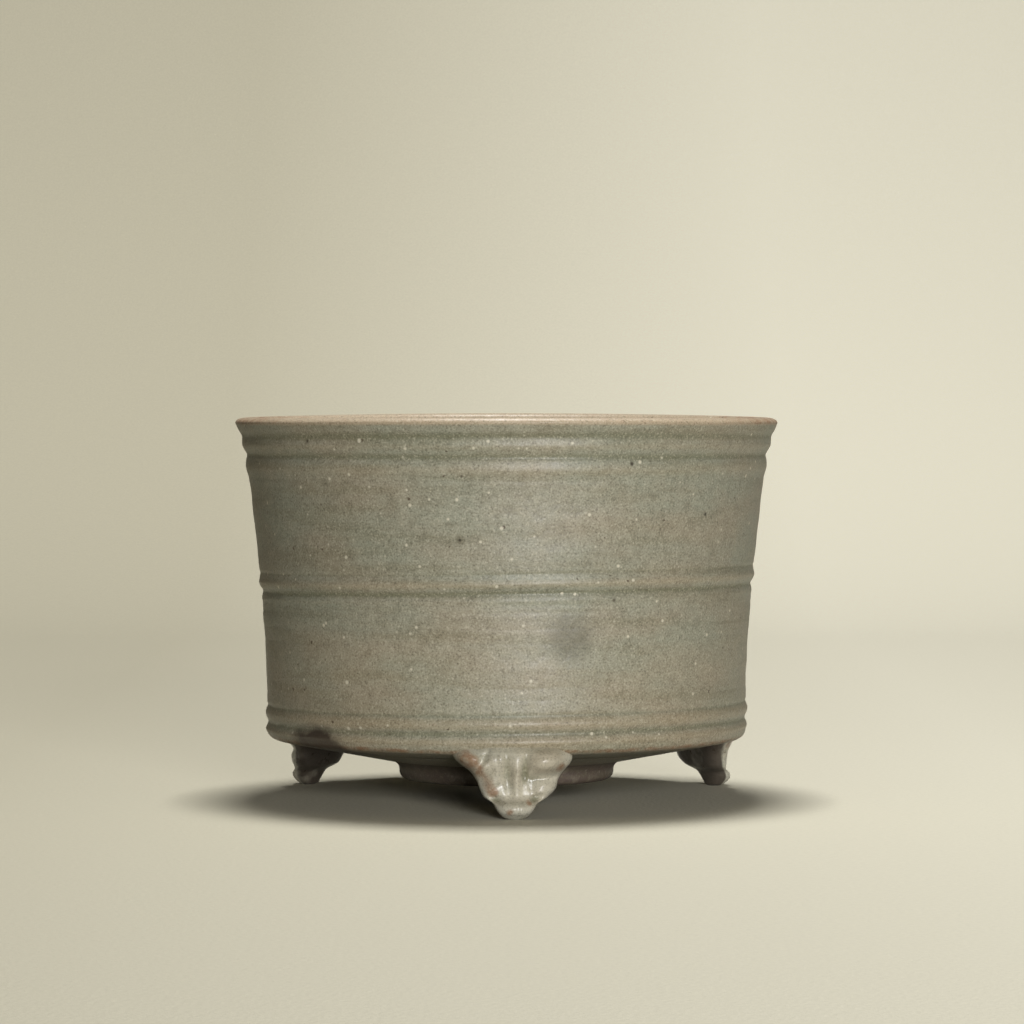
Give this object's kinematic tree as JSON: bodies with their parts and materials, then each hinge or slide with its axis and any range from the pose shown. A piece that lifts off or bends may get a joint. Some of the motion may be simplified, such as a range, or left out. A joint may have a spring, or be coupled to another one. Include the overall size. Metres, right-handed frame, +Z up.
{
  "type": "tripod incense burner",
  "caption": "Open cylindrical stoneware incense burner with string bands and a grey-green glaze, on moulded cloud-scroll feet, with a turned ring under the base that hangs clear of the ground",
  "frame": {"origin": "on the ground under the middle of the pot, centre of the bottom of the bounding box", "axes": "+Z is up along the axis the pot was turned on, the front foot points towards -Y, turned 2.3 degrees towards +X"},
  "size_m": [0.1352, 0.1352, 0.0946],
  "materials": {
    "glaze": "satin",
    "foot_glaze": "satin",
    "bare_clay": "matte"
  },
  "bodies": {
    "root": {"thrown_wall": "glaze", "base_disc": "glaze", "foot_ring": "bare_clay", "cloud_foot_front": "foot_glaze", "cloud_foot_right": "foot_glaze", "cloud_foot_left": "foot_glaze"}
  },
  "joints": []
}
